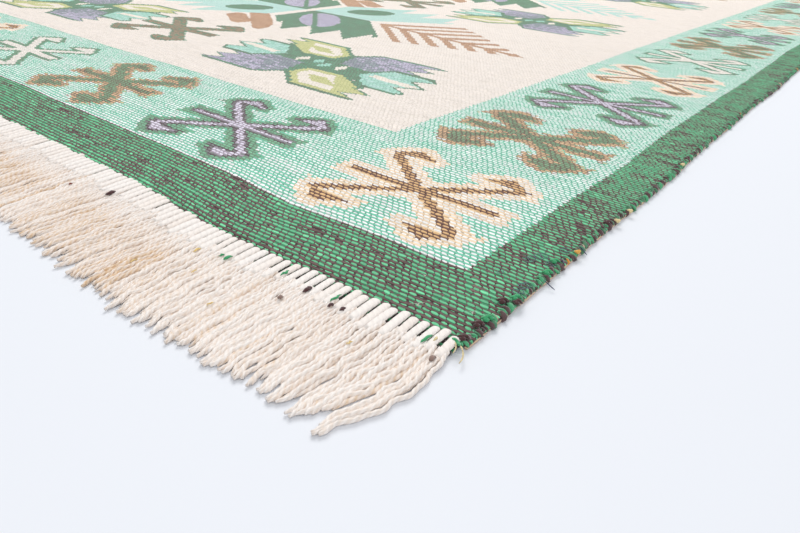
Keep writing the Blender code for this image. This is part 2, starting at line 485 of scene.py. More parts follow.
def weave(graph, x, y, bias, spread):
    """The float at a point: its centre, its cell, whether it stands out, and how near its edge the point is.

    The rows that stand out have rounded floats, which a bias above 0 makes larger and a spread more uneven.
    """
    across = x * (1 / FLOAT_PITCH)
    along = y * (1 / ROW_PITCH)

    def row(shift):
        """The row over a point: its middle, how far off the point is, and the float with its end."""
        number = graph.math("FLOOR", along + shift)
        middle = number + (0.5 - shift)
        uneven = graph.scatter(middle * 2.0, 3.0) * 0.34
        slanted = across + along * SLANT + uneven
        cell = graph.math("FLOOR", slanted)
        to_end = graph.size(slanted - cell - 0.5) * 2.0
        centre_x = cell + 0.5 - middle * SLANT - uneven
        square = to_end * to_end
        return middle, (along - middle) * 2.0, cell, centre_x, square * square

    middle_1, off_1, cell_1, centre_1, end_1 = row(0.0)
    middle_2, off_2, cell_2, centre_2, end_2 = row(0.5)
    size = (graph.scatter(cell_1, middle_1 * 2.0) - 0.5) * spread
    high_1, high_2 = off_1 * off_1, off_2 * off_2
    stands_out = high_1 + end_1 * 1.7 < high_2 + (bias + size)
    cell_x = graph.choose(stands_out, cell_1, cell_2)
    cell_y = graph.choose(stands_out, middle_1, middle_2) * 2.0
    centre_x = graph.choose(stands_out, centre_1, centre_2) * FLOAT_PITCH
    edge = graph.choose(stands_out, high_1 * 2.4 + end_1 * 0.55, high_2 * 2.0 + end_2 * 0.4)
    return (centre_x, cell_y * (ROW_PITCH / 2)), (cell_x, cell_y), stands_out, edge


def even_stops(colours):
    """Stops that give each colour the same share of a ramp."""
    return [(place / len(colours), colour) for place, colour in enumerate(colours)]


def yarn_colour(graph, yarns, area, stands_out):
    """The yarn's colour, from the area's number and the row's yarn."""
    stops = even_stops([colour for pair in yarns.values() for colour in pair])
    return graph.ramp((area * 2.0 + (1.5 - stands_out)) * (1 / len(stops)), stops, "CONSTANT")


def finish_weave(graph, colour, x, y, centre, cell, edge, depth, specks):
    """Yarn tone that changes from float to float and along each row, painted shade in the crevices between
    floats, and the floats' relief.
    """
    streak = graph.noise(centre[0] * 26.0, centre[1] * 640.0)
    single = graph.scatter(cell[0] + 0.5, cell[1] + 0.5)
    fibre = graph.noise(x * 1500.0, y * 4200.0, detail=1.0)
    # Painted shade: the colour is darkened near each float's edge, in the crevices, by the depth's share.
    crevice_shade = graph.math("MINIMUM", graph.most(edge - 0.30, 0.0) * 1.5, 1.0)
    tone = 1.0 + streak * (0.6 * depth + 0.1) + (single - 0.5) * (0.6 * depth) + fibre * (0.9 * depth + 0.1)
    tone = (tone + (single > 0.975) * specks) * (1.0 - crevice_shade * depth)
    fabric(graph, graph.shade(colour, tone))
    dome = graph.math("SQRT", graph.most(1.0 - edge * 0.8, 0.0))
    graph.bump(dome + fibre * 0.22, 0.8 * MM)


def hooked(graph, x, y):
    """How far a point is outside the thin hooked motif, in millimetres."""
    right, up = graph.size(x), graph.size(y)
    bar = graph.most(right - BAR[0], up - BAR[1])
    over = graph.size(right * ARM_SLOPE[1] - up * ARM_SLOPE[0]) - ARM[1]
    arm = graph.most(over, right * ARM_SLOPE[0] + up * ARM_SLOPE[1] - ARM[0])
    return graph.least(bar, arm, graph.polygon(right, up, HOOK))


def border_motifs(graph, centre, inside):
    """The motif at a place in the border: how far outside it the place is, and the number of its kind."""
    end_pitch = (WIDTH - 2 * MOTIF_FROM_SIDE) / (END_MOTIFS - 1)
    side_pitch = (LENGTH - 2 * MOTIF_FROM_END) / (SIDE_MOTIFS - 1)
    along_end = (WIDTH / 2 - MOTIF_FROM_SIDE + centre[0] * graph.sign(centre[1])) * (1 / end_pitch)
    along_side = (LENGTH / 2 - MOTIF_FROM_END + centre[1] * graph.sign(centre[0])) * (1 / side_pitch)
    end_number, side_number = graph.whole(along_end), graph.whole(along_side)
    on_end = inside[1] < MOTIF_FROM_END + side_pitch / 2
    local_x = graph.choose(on_end, (along_end - end_number) * end_pitch, inside[0] - MOTIF_FROM_SIDE)
    local_y = graph.choose(on_end, inside[1] - MOTIF_FROM_END, (along_side - side_number) * side_pitch)
    outside = hooked(graph, local_x * (1 / MM), local_y * (1 / MM))

    def kind(number, order, shift):
        """The kind of motif at a place in a row, which repeats the order."""
        turn = graph.math("FLOORED_MODULO", number - shift, float(len(order)))
        result = float(order[0])
        for place, value in enumerate(order[1:], 1):
            result = graph.choose(turn > place - 0.5, float(value), result)
        return result

    chosen = graph.choose(on_end, kind(end_number, END_ORDER, 0.0), kind(side_number, SIDE_ORDER, 1.0))
    return outside, chosen


def border_material():
    """The guard stripe, the mint band with its hooked motifs, and the field's rim."""
    graph = Graph("border_weave")
    names = list(BORDER_YARNS)
    x, y = unsettled(graph, *graph.flat_place())
    inside_x, inside_y = WIDTH / 2 - graph.size(x), LENGTH / 2 - graph.size(y)
    in_mint = graph.least(inside_x - SIDE_GUARD, inside_y - END_GUARD) > 0.0
    patches = graph.noise(x * 16.0, y * 105.0, detail=4.0)
    patches = patches + graph.noise(x * 520.0, y * 900.0, detail=1.0) * 0.45
    bias = graph.choose(in_mint, patches * 2.0 + 0.18, patches * 4.0 + 0.36)
    centre, cell, stands_out, edge = weave(graph, x, y, bias, graph.choose(in_mint, 0.6, 1.5))
    # depth sets how much the tone varies and how dark the painted crevice shade is; the guard gets more of
    # both.
    depth = graph.choose(in_mint, 0.30, 0.56)
    specks = graph.choose(in_mint, 0.0, 0.25)

    chance = graph.scatter(cell[0] * 3.0, cell[1] * 3.0) - 0.5
    inside = WIDTH / 2 - graph.size((centre[0] + x) * 0.5), LENGTH / 2 - graph.size(centre[1])
    in_field = graph.least(inside[0] - SIDE_BORDER, inside[1] - END_BORDER) > 0.0
    area = graph.choose(in_field, float(names.index("field")), 1.0)
    guard = graph.least(inside[0] - SIDE_GUARD, inside[1] - END_GUARD) < 0.0
    area = graph.choose(guard, 0.0, area)
    outside, kind = border_motifs(graph, centre, inside)
    for number, (yarns, limits, ragged) in enumerate(MOTIF_KINDS):
        this = graph.math("COMPARE", kind, float(number), 0.4)
        reach = outside + chance * ragged
        for limit, name in zip(limits, yarns):
            area = graph.choose(this * (reach < limit), float(names.index(name)), area)

    colour = yarn_colour(graph, BORDER_YARNS, area, stands_out)
    finish_weave(graph, colour, x, y, centre, cell, edge, depth, specks)
    return graph.material


class Painter:
    """The area number of a pattern, built up by shapes laid over each other."""

    def __init__(self, graph, yarns):
        self.graph = graph
        self.names = list(yarns)
        self.area = 0.0

    def paint(self, mask, name):
        self.area = self.graph.choose(mask, float(self.names.index(name)), self.area)


def paint_flowers(graph, painter, x, y):
    """Hooked figures in the middle and a flower on each side of them, in every other row of the field."""
    row = ROW_OF_FIELD / MM
    number = graph.math("FLOOR", y * (1 / row))
    turn = graph.math("FLOORED_MODULO", number, 2.0) * -2.0 + 1.0
    local_y = (graph.fraction(y * (1 / row)) - 0.5) * row
    mottle = graph.noise(x * 0.11, y * 0.16, detail=3.0)
    figure = hooked(graph, (x - FIGURE_ACROSS) * FIGURE_SCALE[0], local_y * FIGURE_SCALE[1])
    painter.paint(figure < 3.6, "green")
    painter.paint((figure < 2.4) * (mottle > -0.06), "olive")

    local_x = graph.size(x) - FLOWER_ACROSS / MM
    half = graph.sign(local_x)
    right, up = local_x * half, local_y * half * turn
    painter.paint(right * (1 / 130.0) + graph.size(up) * (1 / 54.0) < 1.0, "green")

    def petal(corners, teeth, name):
        """Paints a petal in its outline. teeth is the saw edge's start, period, depth and reach."""
        start, period, depth, reach = teeth
        jagged = right + graph.teeth(up + start, period) * depth - reach
        outside = graph.most(graph.polygon(right, up, corners), jagged)
        painter.paint(outside < 0.0, "green")
        painter.paint(outside < -PETAL_OUTLINE, name)
        return outside

    outside = petal(PETAL_UP, (-10.0, 20.0, 24.0, 108.0), "slate")
    painter.paint((outside < -PETAL_OUTLINE) * (mottle + (right + up - 90.0) * 0.002 > 0.0), "lavender")
    outside = petal(PETAL_SIDE, (5.0, 28.0, 26.0, 138.0), "aqua")
    painter.paint((outside < -PETAL_OUTLINE) * (mottle > 0.04), "pale_aqua")
    painter.paint((outside < -8.0) * (right > 70.0) * (graph.size(up + right * 0.1 - 6.0) < 5.0), "cream")
    outside = petal(PETAL_DOWN, (18.0, 20.0, 26.0, 117.0), "lime")
    painter.paint((outside < -12.0) * (outside > -23.0) * (right * 0.8 + up * 0.6 < 22.0), "cream")

    for across, height, half_width, half_height, name in FLOWER_EYES:
        eye = graph.size(right - across) * (1 / half_width) + graph.size(up - height) * (1 / half_height)
        painter.paint(eye < 1.0, name)


def paint_medallions(graph, painter, x, y):
    """Four toothed leaves round a middle, a comb on each side and a barbed stem above and below."""
    row = ROW_OF_FIELD / MM
    number = graph.least(graph.most(graph.whole(y * (1 / row)), -1.0), 1.0)
    local_x, local_y = x - MEDALLION_CENTRE[0], y - number * row - MEDALLION_CENTRE[1]
    plain_row = graph.size(number) > 0.5
    half = graph.sign(local_x)
    right, down = graph.size(local_x), graph.size(local_y)

    comb_x = right - COMB_START
    comb_y = (local_y + MEDALLION_CENTRE[1]) * half - comb_x * COMB_SLOPE - 5.0
    comb_y = graph.most(comb_y * (1 / COMB_UPPER), comb_y * -1.0)
    tip = graph.choose(half > 0.0, COMB_TIPS[0], COMB_TIPS[1])
    fall = COMB_REACH / (COMB_TIPS[0] - COMB_START - COMB_REACH / COMB_RISE)
    lozenge = graph.most(comb_y - comb_x * COMB_RISE, comb_y - (tip - right) * fall)
    barbs = graph.fraction((comb_x - comb_y * (1 / COMB_RISE)) * (1 / COMB_PITCH)) < 0.46
    comb = graph.most(barbs, comb_y < 3.5) * (lozenge < 0.0)
    painter.paint(comb * plain_row, "tan")
    painter.paint(comb * (1.0 - plain_row), "pale_aqua")

    stem_x = local_x * graph.sign(local_y) * -1.0
    for corners in STEM_BARBS:
        painter.paint(graph.polygon(stem_x, down, corners) < 0.0, "tan")

    along = right * LEAF_AXIS[0] + down * LEAF_AXIS[1]
    sideways = right * LEAF_AXIS[1] - down * LEAF_AXIS[0]
    tooth = sideways - LEAF_TIP[1]
    jagged = along - LEAF_TIP[0] - tooth * LEAF_TOOTH_SLOPE
    jagged = jagged + graph.fraction(tooth * (1 / LEAF_TOOTH)) * LEAF_TOOTH_DEPTH
    leaf = graph.most(graph.polygon(right, down, LEAF), jagged) < 0.0
    green = local_x * local_y < 0.0
    painter.paint(leaf, "pale_aqua")
    painter.paint(leaf * green, "green")

    def heart(place, across, half_length, half_width):
        """Where a leaf's heart is."""
        long_way, short_way = (along - place) * (1 / half_length), (sideways - across) * (1 / half_width)
        return long_way * long_way + short_way * short_way < 1.0

    painter.paint(heart(*GREEN_HEART) * (1.0 - green), "green")
    vein = graph.size(sideways - HEART_VEIN[0]) < HEART_VEIN[1]
    painter.paint(heart(*LAVENDER_HEART) * green * (1.0 - vein), "lavender")


def field_material():
    """The cream field with its flowers, hooked figures, palmettes and combs."""
    graph = Graph("field_weave")
    x, y = unsettled(graph, *graph.flat_place())
    patches = graph.noise(x * 16.0, y * 105.0, detail=3.0) * 2.0
    centre, cell, stands_out, edge = weave(graph, x, y, patches, 0.9)
    painter = Painter(graph, FIELD_YARNS)
    x_mm, y_mm = centre[0] * (1 / MM), centre[1] * (1 / MM)
    paint_flowers(graph, painter, x_mm, y_mm)
    paint_medallions(graph, painter, x_mm, y_mm)
    colour = yarn_colour(graph, FIELD_YARNS, painter.area, stands_out)
    # The field's floats vary little in tone and have only faint painted crevice shade.
    finish_weave(graph, colour, x, y, centre, cell, edge, 0.14, 0.0)
    return graph.material


def yarn_material(name, stops, interpolation="LINEAR", groove_shade=0.0):
    """Twisted two-ply yarn whose colour follows its tone number through a ramp, with painted shade in the
    valleys between its plies.
    """
    graph = Graph(name)
    turn = graph.stored("around") - graph.stored("run") * (1 / PLY_TURN)
    valley = 0.5 - graph.math("COSINE", turn * (4 * math.pi)) * 0.5
    # Painted shade: in the ply valleys the ramp is read lower, towards tan.
    colour = graph.ramp(graph.stored("tone") - valley * valley * groove_shade, stops, interpolation)
    x, y = graph.place()
    fibre = graph.noise(x * 2600.0, y * 1400.0, detail=2.0)
    # The valleys are also a little darker here, as painted shade; the fibres vary the tone at random.
    fabric(graph, graph.shade(colour, 1.0 - valley * 0.04 + fibre * 0.14), roughness=0.95, sheen=0.35)
    graph.bump(fibre * 0.6 - valley, 0.25 * MM)
    return graph.material


def mesh_object(name, points, faces):
    """A smooth mesh object from point and face arrays."""
    mesh = bpy.data.meshes.new(name)
    mesh.from_pydata(points.tolist(), [], faces)
    mesh.polygons.foreach_set("use_smooth", np.ones(len(mesh.polygons), bool))
    mesh.update()
    made = bpy.data.objects.new(name, mesh)
    bpy.context.scene.collection.objects.link(made)
    return made


def store(made, name, values):
    """Stores a number for each point of a mesh."""
    attribute = made.data.attributes.new(name, "FLOAT", "POINT")
    attribute.data.foreach_set("value", np.ascontiguousarray(values, np.float32).ravel())


def tubes(
    name, paths, half_width, half_height, material,
    sides=6, lobe=0.0, start=0.0, tones=0.5, slot="woven_cloth",
):
    """One mesh of many tubes, each along a path of as many points, that rides on the rug.

    paths is (tube, point, xyz), and the half sizes fit (tube, point). lobe makes the section two-lobed
    and twisted, as two-ply yarn is. start shifts each tube's twist, and tones gives its colour.
    """
    count, points = paths.shape[:2]
    steps = np.linalg.norm(np.diff(paths, axis=1), axis=2)
    run = np.concatenate([np.zeros((count, 1)), np.cumsum(steps, axis=1)], axis=1) + start
    along = np.gradient(paths, axis=1)
    along /= np.linalg.norm(along, axis=2, keepdims=True) + 1e-12
    upward = np.zeros_like(along)
    upward[..., 2] = 1.0
    upward[np.abs(along[..., 2]) > 0.95] = (0.0, 1.0, 0.0)
    sideways = np.cross(along, upward)
    sideways /= np.linalg.norm(sideways, axis=2, keepdims=True) + 1e-12
    upward = np.cross(sideways, along)
    angle = np.pi * ((2 * np.arange(sides) + 1) / sides - 0.5)
    reach = 1.0 + lobe * np.cos(2 * (angle - 2 * np.pi * run[..., None] / PLY_TURN))
    wide = np.broadcast_to(half_width, (count, points))[..., None] * reach * np.cos(angle)
    tall = np.broadcast_to(half_height, (count, points))[..., None] * reach * np.sin(angle)
    ring = paths[:, :, None] + wide[..., None] * sideways[:, :, None] + tall[..., None] * upward[:, :, None]
    number = np.arange(count * points * sides).reshape(count, points, sides)
    after = np.roll(number, -1, axis=2)
    quads = np.stack([number[:, :-1], number[:, 1:], after[:, 1:], after[:, :-1]], -1).reshape(-1, 4)
    faces = quads.tolist() + number[:, 0].tolist() + number[:, -1, ::-1].tolist()
    made = mesh_object(name, ring.reshape(-1, 3), faces)
    store(made, "run", np.broadcast_to(run[..., None], number.shape))
    store(made, "around", np.broadcast_to(angle / (2 * np.pi), number.shape))
    tones = np.asarray(tones, float)
    store(made, "tone", np.broadcast_to(tones.reshape(tones.shape + (1,) * (3 - tones.ndim)), number.shape))
    made.data.materials.append(material)
    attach(made, "root")
    return made


def smooth_noise(places, wavelength, seed):
    """Repeatable smooth noise from -1 to 1 over an array of places."""
    chance = np.random.default_rng(seed)
    total = np.zeros_like(places, dtype=float)
    for harmonic in (1.0, 1.9, 3.3):
        turn = chance.uniform(0, 2 * np.pi)
        total += np.sin(2 * np.pi * places * harmonic / wavelength + turn) / harmonic
    return total / 1.5


class Outline:
    """The cloth's real edges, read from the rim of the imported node."""

    def __init__(self, node):
        points = np.array([v.co for v in node.data.vertices])
        rim = points[(points[:, 2] > 0.3 * THICKNESS) & (points[:, 2] < 0.7 * THICKNESS)]
        low, high = points.min(0), points.max(0)
        self.middle = Vector(((low[0] + high[0]) / 2, low[1] + NEAR_SWELL + LENGTH / 2, 0.0))
        self.ends = {end: self.line(rim[end * rim[:, 1] > LENGTH / 2 - 0.012], 0) for end in (-1, 1)}
        self.sides = {side: self.line(rim[side * rim[:, 0] > WIDTH / 2 - 0.008], 1) for side in (-1, 1)}

    @staticmethod
    def line(points, axis):
        """Points along an edge as sorted places and offsets."""
        ordered = points[np.argsort(points[:, axis])]
        return ordered[:, axis], ordered[:, 1 - axis]

    def end(self, x, end):
        """The edge's y at one end, -1 or 1, for an array of places across."""
        return np.interp(x, *self.ends[end])

    def side(self, y, side):
        """The edge's x on one side, -1 or 1, for an array of places along."""
        return np.interp(y, *self.sides[side])

    def from_end(self, end, across, out):
        """X and Y of a place at an end: across as seen from outside it, and out from the cloth's edge."""
        x = self.middle.x - end * across
        return x, self.end(x, end) + end * out


def grid_places(half, step):
    """Places from edge to edge, with the first and last ones close to the rim."""
    inset = half - RIM_INSET
    return np.concatenate(([-half], np.linspace(-inset, inset, round(2 * inset / step)), [half]))


def pulled(value, low, high, half):
    """Carries the edges' unevenness into the cloth, fading away from each edge."""

    def share(gap):
        """How much of an edge's unevenness reaches a place, from its distance to the edge."""
        return 0.5 + 0.5 * np.cos(np.pi * np.clip((gap - EDGE_HELD) / EDGE_FADE, 0, 1))

    return value + (low + half) * share(value + half) + (high - half) * share(half - value)


def cloth_faces(rows, columns):
    """The faces of the cloth's top, of its underside and of the wall between them."""
    total = rows * columns
    number = np.arange(total).reshape(rows, columns)
    quads = np.stack([number[:-1, :-1], number[:-1, 1:], number[1:, 1:], number[1:, :-1]], -1).reshape(-1, 4)
    ring = np.concatenate([number[0, :-1], number[:-1, -1], number[-1, :0:-1], number[:0:-1, 0]])
    after = np.roll(ring, -1)
    wall = np.stack([ring, ring + total, after + total, after], -1)
    return np.concatenate([quads, quads[:, ::-1] + total, wall])


def cloth(outline, materials):
    """The woven sheet: a fine grid on each face, joined around a rounded rim."""
    x, y = np.meshgrid(grid_places(WIDTH / 2, CLOTH_GRID), grid_places(LENGTH / 2, CLOTH_GRID))
    middle = outline.middle
    left, right = (outline.side(y + middle.y, side) - middle.x for side in (-1, 1))
    near, far = (outline.end(x + middle.x, end) - middle.y for end in (-1, 1))
    new_x = pulled(x, left, right, WIDTH / 2) + middle.x
    new_y = pulled(y, near, far, LENGTH / 2) + middle.y
    wave = np.sin(new_x * 21 + 2 * np.sin(new_y * 9)) + np.sin(new_y * 27 + 1.5 * np.sin(new_x * 11))
    rim = np.zeros(x.shape, bool)
    rim[[0, -1], :] = True
    rim[:, [0, -1]] = True
    top_z = np.where(rim, RIM_HEIGHTS[0] * THICKNESS, THICKNESS - TOP_DIP + TOP_WAVE * wave)
    low_z = np.where(rim, RIM_HEIGHTS[1] * THICKNESS, 0.0)
    points = [np.stack([new_x, new_y, z], -1).reshape(-1, 3) for z in (top_z, low_z)]
    made = mesh_object("woven_cloth", np.concatenate(points), cloth_faces(*x.shape).tolist())
    for material in materials:
        made.data.materials.append(material)
    flat = np.stack([x, y, np.zeros_like(x)], -1).reshape(-1, 3)
    attribute = made.data.attributes.new("flat", "FLOAT_VECTOR", "POINT")
    attribute.data.foreach_set("vector", np.concatenate([flat, flat]).astype(np.float32).ravel())
    centres = np.empty(len(made.data.polygons) * 3)
    made.data.polygons.foreach_get("center", centres)
    centres = centres.reshape(-1, 3) - np.array(middle)
    in_field = (np.abs(centres[:, 0]) < FIELD_HALF[0]) & (np.abs(centres[:, 1]) < FIELD_HALF[1])
    made.data.polygons.foreach_set("material_index", in_field.astype(np.int32))
    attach(made, "root")
    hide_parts("kilim_cloth")
    return made


def fringe_roots(chance):
    """The places of the fingers, and of the loose yarns below them, two or three to a finger."""
    fingers = (np.arange(FINGERS) - (FINGERS - 1) / 2) * FINGER_PITCH + chance.normal(0, 0.25 * MM, FINGERS)
    yarns = []
    for finger in fingers:
        warps = 3 if chance.random() < 0.4 else 2
        half = FINGER_PITCH / 2 * (1 - 1 / warps)
        yarns += list(finger + np.linspace(-half, half, warps))
    return fingers, np.array(yarns)


def nearness(centre, place, spread):
    """1 at a place measured from the +X side, fading to 0 on both sides of it."""
    return np.exp(-(((WIDTH / 2 - centre - place) / spread) ** 2))


def fringe_end(centre, end, chance, spread):
    """How far out each warp reaches, uneven as the fringe's tips are."""
    wander = 2.2 * MM * smooth_noise(centre, 0.16, 9 + end) + 1.2 * MM * smooth_noise(centre, 0.031, 11 + end)
    if end < 0:
        for place, reach, depth in NOTCHES:
            wander = wander - depth * nearness(centre, place, reach)
    return FRINGE_LENGTH - 2.5 * MM + wander + chance.normal(0, spread, len(centre))


def fringe_sway(centre, share, end):
    """How far the fringe leans and waves sideways: neighbours go together, in locks."""
    lean = 2.5 * MM * smooth_noise(centre, 0.33, 3 + end) + 1.3 * MM * smooth_noise(centre, 0.042, 4 + end)
    if end < 0:
        for place, spread, reach in LOCK_LEAN:
            lean = lean + reach * nearness(centre, place, spread)
    phase = 1.6 * smooth_noise(centre, 0.05, 6 + end) + 0.9 * smooth_noise(centre, 0.012, 8 + end)
    wave = np.sin(2 * np.pi * share * FRINGE_LENGTH / (21 * MM) + phase)
    return lean * share**1.4 + 0.55 * MM * (wave - np.sin(phase)) * np.minimum(share * 3, 1)


def corner_sweep(centre, share):
    """The outermost warps bulge past the selvedge and then curve back in."""
    near_corner = np.exp(-(WIDTH / 2 - np.abs(centre)) / (11 * MM)) * np.sign(centre)
    return near_corner * (4.4 * MM * np.sin(np.pi * np.minimum(share * 1.15, 1)) - 13 * MM * share**3)


def finger_bars(outline, end, chance, fingers, points):
    """Flat rounded bars from the cloth's last rows out to the loose yarns, snugger away from the corners."""
    count = len(fingers)
    column = fingers[:, None]
    onto = FINGER_ONTO_CLOTH * (0.25 + 0.75 * chance.random((count, 1)))
    held = FINGER_LENGTH + 1.8 * MM * smooth_noise(column, 0.06, 5 + end)
    held = held + chance.normal(0, 0.9 * MM, (count, 1))
    share = np.linspace(0, 1, points) ** 1.3
    out = -onto + (held + onto) * share
    across = column + chance.normal(0, 0.45 * MM, (count, 1)) * share
    x, y = outline.from_end(end, across, out)
    height = THICKNESS + 0.1 * MM - 0.9 * MM * share**1.5
    rounded = np.clip(share * 14, 0, 1)
    profile = np.maximum(np.sqrt(rounded * (2 - rounded)), 0.5) * (1 - 0.3 * share**8)
    profile = profile + 0.05 * chance.normal(0, 1, profile.shape[:1]) * share
    snug = np.clip((WIDTH / 2 - np.abs(column) - 0.06) / 0.12, 0, 1)
    wide = (2.12 * MM + 0.36 * MM * snug + chance.normal(0, 0.16 * MM, (count, 1))) * profile
    tone = np.clip(0.94 + 0.05 * chance.normal(0, 1, count), 0.7, 1)
    return np.stack([x, y, np.broadcast_to(height, x.shape)], -1), wide, 0.37 * wide, tone


def loose_yarns(outline, end, chance, yarns, points):
    """The warps from under their fingers to their loose ends, side by side and gently waved."""
    count = len(yarns)
    column = yarns[:, None]
    full = fringe_end(yarns, end, chance, 1.8 * MM)[:, None]
    share = np.linspace(0, 1, points)
    out = YARN_START + (full - YARN_START) * share
    fade = np.minimum(share * 4, 1)
    turn = 1.2 * smooth_noise(column, 0.009, 7) + chance.normal(0, 0.6, (count, 1))
    fine = np.sin(2 * np.pi * out / (10.5 * MM) + turn)
    across = column + fringe_sway(column, share, end) + corner_sweep(column, share)
    lock = LOCK_WIDTH * np.round((column + 1.8 * MM * smooth_noise(column, 0.023, 31)) / LOCK_WIDTH)
    across = across + LOCK_PULL * (lock - column) * share**1.3
    loose = 0.36 * MM * (1 + 0.5 * chance.normal(0, 1, (count, 1)))
    across = across + chance.normal(0, 1.3 * MM, (count, 1)) * share**1.5 + loose * fine * fade
    layer = chance.random((count, 1))
    lift = 0.5 + 0.5 * np.sin(2 * np.pi * out / (29 * MM) + chance.uniform(0, 2 * np.pi, (count, 1)))
    resting = YARN_HALF + 1.6 * MM * layer * (0.35 + 0.65 * lift) * (1 - 0.9 * share**3)
    x, y = outline.from_end(end, across, out)
    path = np.stack([x, y, 2.1 * MM * (1 - fade) + resting * fade], -1)
    size = YARN_HALF * (1 + 0.12 * chance.normal(0, 1, (count, 1)).clip(-1.5, 1.5))
    size = size * np.clip((1 - share) / 0.025, 0.72, 1)
    # Painted shade: the lower yarns, nearer the floor, are toned darker; each yarn's tone also differs at
    # random.
    tone = 0.95 + 0.08 * chance.normal(0, 1, (count, 1)) - 0.08 * (1 - layer) * fade
    if end < 0:
        for place, spread, amount in TAN_LOCKS:
            below = np.clip((out - 20 * MM) / (12 * MM), 0, 1)
            tan = amount * nearness(column, place, spread) * below
            tone = tone - tan * (0.5 + chance.random((count, 1)))
    return path, size, size, np.clip(tone, 0.1, 1)


def lower_yarns(outline, end, chance):
    """The fringe's under layer, so that no floor shows between the warps. Its yarns are toned tanner and
    darker, as painted shade under the top ones.
    """
    centre = (np.arange(UNDER_YARNS) - (UNDER_YARNS - 1) / 2) * (WIDTH - 9 * MM) / UNDER_YARNS
    column = centre[:, None]
    full = fringe_end(centre, end, chance, 1.5 * MM)[:, None] - UNDER_SHORTER
    share = np.linspace(0, 1, UNDER_POINTS)
    out = YARN_START + (full - YARN_START) * share
    across = column + fringe_sway(column, share, end) + corner_sweep(column, share)
    x, y = outline.from_end(end, across, out)
    wide = 1.4 * MM * np.clip((1 - share) / 0.06, 0.3, 1) + np.zeros(x.shape)
    path = np.stack([x, y, np.full(x.shape, 0.85 * MM)], -1)
    # Tones of 0.6 to 0.9 on the cream ramp, uneven at random: painted shade under the top yarns.
    return path, wide, 0.58 * wide, 0.6 + 0.3 * chance.random(UNDER_YARNS)


def last_wefts(outline, end, chance, material):
    """The wefts that run under the fingers. Their dark brown and green is partly the weft's own colour and
    partly painted shade in the gaps between the fingers.
    """
    across = np.linspace(-WIDTH / 2 + 3 * MM, WIDTH / 2 - 3 * MM, LAST_WEFT_POINTS)
    row = np.arange(LAST_WEFTS)[:, None]
    wander = 0.3 * MM * chance.normal(0, 1, (LAST_WEFTS, LAST_WEFT_POINTS))
    out = 0.6 * MM + LAST_WEFT_STEP * row + wander
    x, y = outline.from_end(end, np.broadcast_to(across, out.shape), out)
    path = np.stack([x, y, np.full(out.shape, 1.2 * MM)], -1)
    # Mostly dark tones with some green: weft colour and painted shade between the fingers together.
    tone = 0.5 + 0.6 * smooth_noise(across + row * 0.37, 0.03, 21)
    return tubes(f"last_wefts_{END_NAMES[end]}", path, 1.1 * MM, 0.95 * MM, material, sides=5, tones=tone)


def fringe(outline, end, materials):
    """All the pieces of one end's fringe."""
    chance = np.random.default_rng(40 + end)
    name = END_NAMES[end]
    fingers, yarns = fringe_roots(chance)
    loose = loose_yarns(outline, end, chance, yarns, YARN_POINTS[end])
    bars = finger_bars(outline, end, chance, fingers, FINGER_POINTS[end])
    under = lower_yarns(outline, end, chance)
    layers = (
        # name, paths with sizes and tones, sides of each tube, lobes, material, pieces
        ("yarns", loose, 6 if end < 0 else 5, 0.12, "cream", 3),
        ("fingers", bars, 8, 0.0, "finger", 1),
        ("under", under, 5, 0.0, "cream", 1),
    )
    made = []
    for layer, (path, wide, tall, tone), sides, lobe, material, pieces in layers:
        start = chance.uniform(0, PLY_TURN, (len(path), 1))
        for number, part in enumerate(np.array_split(np.arange(len(path)), pieces)):
            piece = f"fringe_{name}_{layer}_{number + 1}"
            sizes = path[part], wide[part], tall[part]
            look = {"sides": sides, "lobe": lobe, "start": start[part], "tones": tone[part]}
            made.append(tubes(piece, *sizes, materials[material], slot=f"fringe_{name}_yarn", **look))
    made.append(last_wefts(outline, end, chance, materials["weft"]))
    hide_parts(f"fringe_{name}")
    return made


def selvedge(outline, side, materials):
    """The weft loops that wrap one long edge, slanted and lumpy, over the outer warp cord."""
    chance = np.random.default_rng(70 + side)
    name = "right" if side > 0 else "left"
    points = len(WRAP_SIZES)
    along = (np.arange(WRAPS) - (WRAPS - 1) / 2) * (LENGTH - 6 * MM) / WRAPS
    along = along + chance.normal(0, 1.1 * MM, WRAPS)

    def varied(size, spread):
        """A size for each loop, uneven within limits."""
        return size + spread * chance.normal(0, 1, (WRAPS, 1)).clip(-1.6, 1.8)

    angle = np.radians(np.linspace(125, -68, points))
    y = along[:, None] + outline.middle.y + varied(0.9 * MM, 1.2 * MM) * np.linspace(0.9, -0.9, points)
    edge = outline.side(y, side) - side * 2.0 * MM
    x = edge + side * (varied(1.7 * MM, 0.55 * MM) * np.cos(angle) + varied(-0.3 * MM, 0.5 * MM))
    z = 1.5 * MM + varied(1.4 * MM, 0.30 * MM) * np.sin(angle)
    size = varied(0.78 * MM, 0.22 * MM) * np.array(WRAP_SIZES)
    runs = np.sin(along * 900) + np.sin(along * 2300 + 1) + chance.normal(0, 1.1, WRAPS)
    kinds = np.select([runs > 0.9, runs > -0.35, runs > -2.9, runs > -3.3], [0.1, 0.3, 0.5, 0.9], 0.7)
    path = np.stack([x, y, np.maximum(z, 0.8 * size)], -1)
    wraps = tubes(
        f"selvedge_{name}_wraps", path, size * 1.2, size * 0.85, materials["wrap"], sides=5, tones=kinds
    )
    run = np.linspace(-LENGTH / 2 + 3 * MM, LENGTH / 2 - 3 * MM, 400) + outline.middle.y
    wander = 0.35 * MM * smooth_noise(run, 0.02, 15)
    x = outline.side(run, side) - side * 0.5 * MM + wander
    path = np.stack([x, run, np.full(run.shape, 0.8 * MM)], -1)
    cord = tubes(f"selvedge_{name}_cord", path[None], 0.85 * MM, 0.75 * MM, materials["wrap"], tones=[0.7])
    return [wraps, cord]


